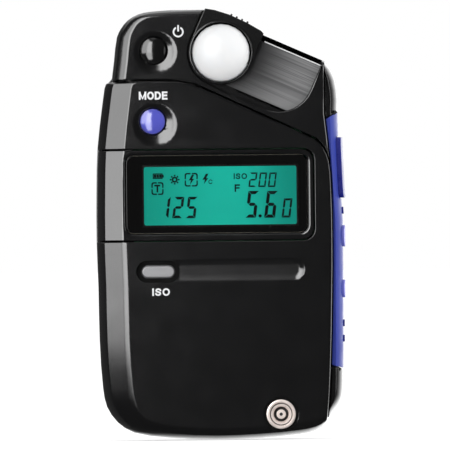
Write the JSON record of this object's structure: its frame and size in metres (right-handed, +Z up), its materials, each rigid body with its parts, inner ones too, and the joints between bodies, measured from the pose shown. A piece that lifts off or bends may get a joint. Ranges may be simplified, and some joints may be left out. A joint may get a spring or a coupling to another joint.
{
  "type": "handheld light meter",
  "caption": "Pocket light meter with a white dome on a sliding carriage, a backlit display, front buttons in round dishes, keys on a blue flank and a round sync terminal.",
  "frame": {"origin": "under the middle of the meter's box, at the lowest point of its curved base", "axes": "+Z up the height to the dome end, -Y out of the display face, +X towards the blue side"},
  "size_m": [0.0638, 0.022, 0.1101],
  "materials": {
    "matte_black": "fine-grained satin black moulding",
    "gloss_black": "polished black moulding",
    "blue_plastic": "satin lavender blue moulding",
    "key_blue": "satin lavender blue key",
    "deep_blue": "satin deep blue key",
    "key_grey": "satin light grey key",
    "dome_white": "translucent white diffuser",
    "channel_grey": "dark grey, finely grooved along the slide",
    "clear_window": "clear acrylic",
    "filter_glass": "blue-green filter glass",
    "lcd": "backlit turquoise liquid crystal panel with dark segments",
    "cream_plastic": "plain moulding",
    "contact_rubber": "black rubber",
    "terminal_metal": "turned nickel plate",
    "cell_metal": "tin plate",
    "spring_steel": "nickel-plated spring steel",
    "screw_steel": "blackened steel",
    "brass": "plain brass",
    "board_green": "green circuit board"
  },
  "bodies": {
    "housing": {"front_cover": "matte_black", "head_cover": "matte_black", "back_shell": "matte_black", "side_panel": "blue_plastic", "touch_dot_1": "deep_blue", "touch_dot_2": "deep_blue", "touch_dot_3": "deep_blue", "display_bezel": "gloss_black", "display_window": "clear_window", "display_mask": "gloss_black", "lcd_glass": "lcd", "lcd_holder": "cream_plastic", "light_panel": "cream_plastic", "zebra_strip_1": "contact_rubber", "channel_plate": "channel_grey", "receptor_window": "clear_window", "cell_filter": "filter_glass", "photo_cell": "cell_metal", "cell_board": "board_green", "click_spring": "spring_steel", "sync_sleeve": "terminal_metal", "sync_insulator": "contact_rubber", "sync_contact": "terminal_metal", "sync_nut": "brass", "main_board": "board_green", "processor_chip": "matte_black", "side_board": "board_green", "power_switch": "cell_metal", "mode_switch": "cell_metal", "iso_switch": "cell_metal", "measure_switch": "cell_metal", "up_switch": "cell_metal", "down_switch": "cell_metal", "battery": "cell_metal", "battery_spring": "spring_steel", "battery_plate": "spring_steel", "case_screw_1": "screw_steel", "case_screw_2": "screw_steel", "case_screw_3": "screw_steel", "case_screw_4": "screw_steel", "board_screw_1": "screw_steel", "board_screw_2": "screw_steel", "board_screw_3": "screw_steel", "strap_bar": "spring_steel"},
    "carriage": {"dome": "dome_white", "dome_carriage": "matte_black"},
    "power_key": {"power_button": "matte_black"},
    "mode_key": {"mode_button": "key_blue"},
    "iso_key": {"iso_button": "key_grey"},
    "measure_key": {"measure_button": "deep_blue"},
    "up_step_key": {"up_key": "key_blue"},
    "down_step_key": {"down_key": "key_blue"},
    "battery_lid": {"battery_cover": "matte_black"}
  },
  "joints": [
    {"name": "dome_slide", "type": "slide", "parent": "housing", "child": "carriage", "axis": [0.915, 0, -0.4035], "range_m": [0, 0.016]},
    {"name": "power_press", "type": "slide", "parent": "housing", "child": "power_key", "axis": [0, 1, 0], "range_m": [0, 0.0005], "stiffness_N_per_m": 400},
    {"name": "mode_press", "type": "slide", "parent": "housing", "child": "mode_key", "axis": [0, 1, 0], "range_m": [0, 0.0005], "stiffness_N_per_m": 400},
    {"name": "iso_press", "type": "slide", "parent": "housing", "child": "iso_key", "axis": [0, 1, 0], "range_m": [0, 0.0005], "stiffness_N_per_m": 400},
    {"name": "measure_press", "type": "slide", "parent": "housing", "child": "measure_key", "axis": [-1, 0, 0], "range_m": [0, 0.0005], "stiffness_N_per_m": 400},
    {"name": "up_press", "type": "slide", "parent": "housing", "child": "up_step_key", "axis": [-1, 0, 0], "range_m": [0, 0.0005], "stiffness_N_per_m": 400},
    {"name": "down_press", "type": "slide", "parent": "housing", "child": "down_step_key", "axis": [-1, 0, 0], "range_m": [0, 0.0005], "stiffness_N_per_m": 400},
    {"name": "battery_cover_slide", "type": "slide", "parent": "housing", "child": "battery_lid", "axis": [0, 0, -1], "range_m": [0, 0.003]}
  ]
}
